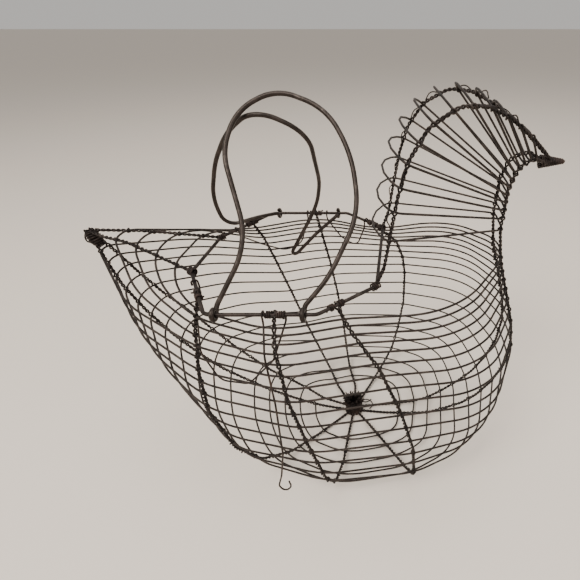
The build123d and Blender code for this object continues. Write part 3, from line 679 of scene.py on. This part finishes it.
def rim_binding(name, x, draw):
    """One wire wound round the rim on both sides of a stay's top, crossing over it."""
    side = 1 if name.startswith("left") else -1
    along = rim_direction(x, side)
    centre = Vector((x, side * rim_y(x), RIM_Z))
    radius = (RIM_WIRE + TIE_WIRE) / 2 + 0.1
    out = Vector((-along.y, along.x, 0))
    up = Vector((0, 0, 1))
    points = []
    gap = STAY_WIRE / 2 + RIM_STAY_ROOM
    first = draw.uniform(0, 2 * pi)
    for part in (-1, 1):
        for index in range(int(RIM_TURNS * RIM_TURN_STEPS) + 1):
            done = index / RIM_TURN_STEPS
            angle = first + 2 * pi * done
            if part < 0:
                place = -gap - (RIM_TURNS - done) * TIE_WIRE * TIE_PITCH
            else:
                place = gap + done * TIE_WIRE * TIE_PITCH
            size = radius + draw.uniform(-0.04, 0.12)
            points.append(centre + along * place + (out * cos(angle) + up * sin(angle)) * size)
        first = first + 2 * pi * RIM_TURNS
        if part < 0:
            angle = first + 0.6
            lift = radius + CROSSING_LIFT
            points.append(centre + (out * cos(angle) + up * sin(angle)) * lift)
            first += 1.2
    leaving = -along * 0.5 + out * side * 0.6 - up * 0.3
    begin = free_end(points[:2][::-1], leaving, draw.uniform(2.0, 3.5), draw)
    points = begin[:1:-1] + points
    return free_end(points, along * 0.5 - out * side * 0.6 + up * draw.uniform(-0.8, 0.4),
                    draw.uniform(2.0, 4.0), draw)


def rim_bindings():
    """The bindings of all side stays, and a wound knot at each corner of the rim."""
    draw = random.Random(5)
    lines = [rim_binding(name, x, draw) for name, x in STAY_TOPS.items()]
    for index in (0, -1):
        for side in (1, -1):
            spot = rim_bend(index)
            spot = Vector((spot.x, side * spot.y, spot.z))
            axis = Vector((0.75, -0.6 * side, 0.15)) if index == 0 else Vector((0.75, 0.6 * side, 0.1))
            wound = winding(spot, axis, -3.0, 4.5, 2.35, 1.3, 0.5, draw)
            lines.append(free_end(wound, (0.5, 0, 1), 3.5, draw))
    piece = wires("rim_binding_turns", lines, TIE_WIRE / 2, "binding_wire")
    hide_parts("rim_ties")


def stray_strands():
    """Thin ends of the stays' strands that stand off the back of the neck in small loops."""
    draw = random.Random(43)
    lines = []
    for name in ("stay_nape_left", "stay_nape_right"):
        line, places = rounded(STAYS[name], STAY_BEND)
        along, away, across = frame_along(line, inside_points(line))
        place = 12.0
        while place < places[-1] - 40:
            length = draw.uniform(7, 13)
            height = draw.uniform(1.6, 3.4)
            turn = draw.uniform(-0.9, 0.9)
            points = []
            for index in range(13):
                share = index / 12
                at = int(np.searchsorted(places, place + length * share))
                lift = STRAND * 1.6 + height * sin(pi * share) ** 1.3
                points.append(line[at] + lift * (away[at] * cos(turn) + across[at] * sin(turn)))
            lines.append(points)
            place += length + draw.uniform(5, 16)
    wires("nape_stray_strands", lines, STRAY_STRAND, "twisted_wire")


hub_bundle()
tail_winding()
beak_winding()
rim_bindings()
stray_strands()

# =========================================================================================================
# CAD pieces that stay: hoops, rim, loose wires and handles
# =========================================================================================================
for name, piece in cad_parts.items():
    if piece.hide_render:
        continue
    if name.startswith("handle"):
        slot_name = "handle_wire"
    elif name == "rim_wire":
        slot_name = "rim_wire"
    elif "hoop" in name or name == "floor_spiral":
        slot_name = "hoop_wire"
    else:
        slot_name = "binding_wire"
    for index in range(max(1, len(piece.data.materials))):
        if index < len(piece.data.materials):
            piece.data.materials[index] = MATERIALS[slot_name]
        else:
            piece.data.materials.append(MATERIALS[slot_name])

# =========================================================================================================
# Floor, light and camera
# =========================================================================================================
def floor():
    """A wide, pale, plain floor."""
    material = bpy.data.materials.new("pale_floor")
    material.use_nodes = True
    shader = material.node_tree.nodes["Principled BSDF"]
    shader.inputs["Base Color"].default_value = (0.72, 0.645, 0.565, 1)
    shader.inputs["Roughness"].default_value = 0.55
    bpy.ops.mesh.primitive_plane_add(size=40.0, location=(0, 0, 0))
    plane = bpy.context.active_object
    plane.name = "floor"
    plane.data.materials.append(material)
    plane.select_set(False)


def area_light(name, place, aim, size, power, colour):
    data = bpy.data.lights.new(name, "AREA")
    data.size = size
    data.energy = power
    data.color = colour
    lamp = bpy.data.objects.new(name, data)
    lamp.location = place
    lamp.rotation_euler = (Vector(aim) - Vector(place)).to_track_quat("-Z", "Y").to_euler()
    bpy.context.scene.collection.objects.link(lamp)


floor()
area_light("key", (-0.55, -0.75, 1.4), (0, 0, 0.1), 0.7, 26, (1.0, 0.95, 0.89))
area_light("fill", (1.1, -0.7, 1.0), (0, 0, 0.1), 1.2, 12, (1.0, 0.97, 0.93))
area_light("top", (0.1, 0.5, 1.7), (0, 0, 0.05), 1.4, 14, (1.0, 0.97, 0.94))
world = bpy.data.worlds.new("soft_light")
world.use_nodes = True
world.node_tree.nodes["Background"].inputs["Color"].default_value = (0.93, 0.90, 0.86, 1)
world.node_tree.nodes["Background"].inputs["Strength"].default_value = 0.58
bpy.context.scene.world = world

camera_data = bpy.data.cameras.new("camera")
camera_data.sensor_width = 36.0
camera_data.lens = 24.83
camera_data.shift_x = -0.198
camera = bpy.data.objects.new("camera", camera_data)
camera.location = placed((49.2, -258.9, 315.1))
camera.rotation_euler = (radians(90 - 34), 0, 0)
bpy.context.scene.collection.objects.link(camera)
bpy.context.scene.camera = camera
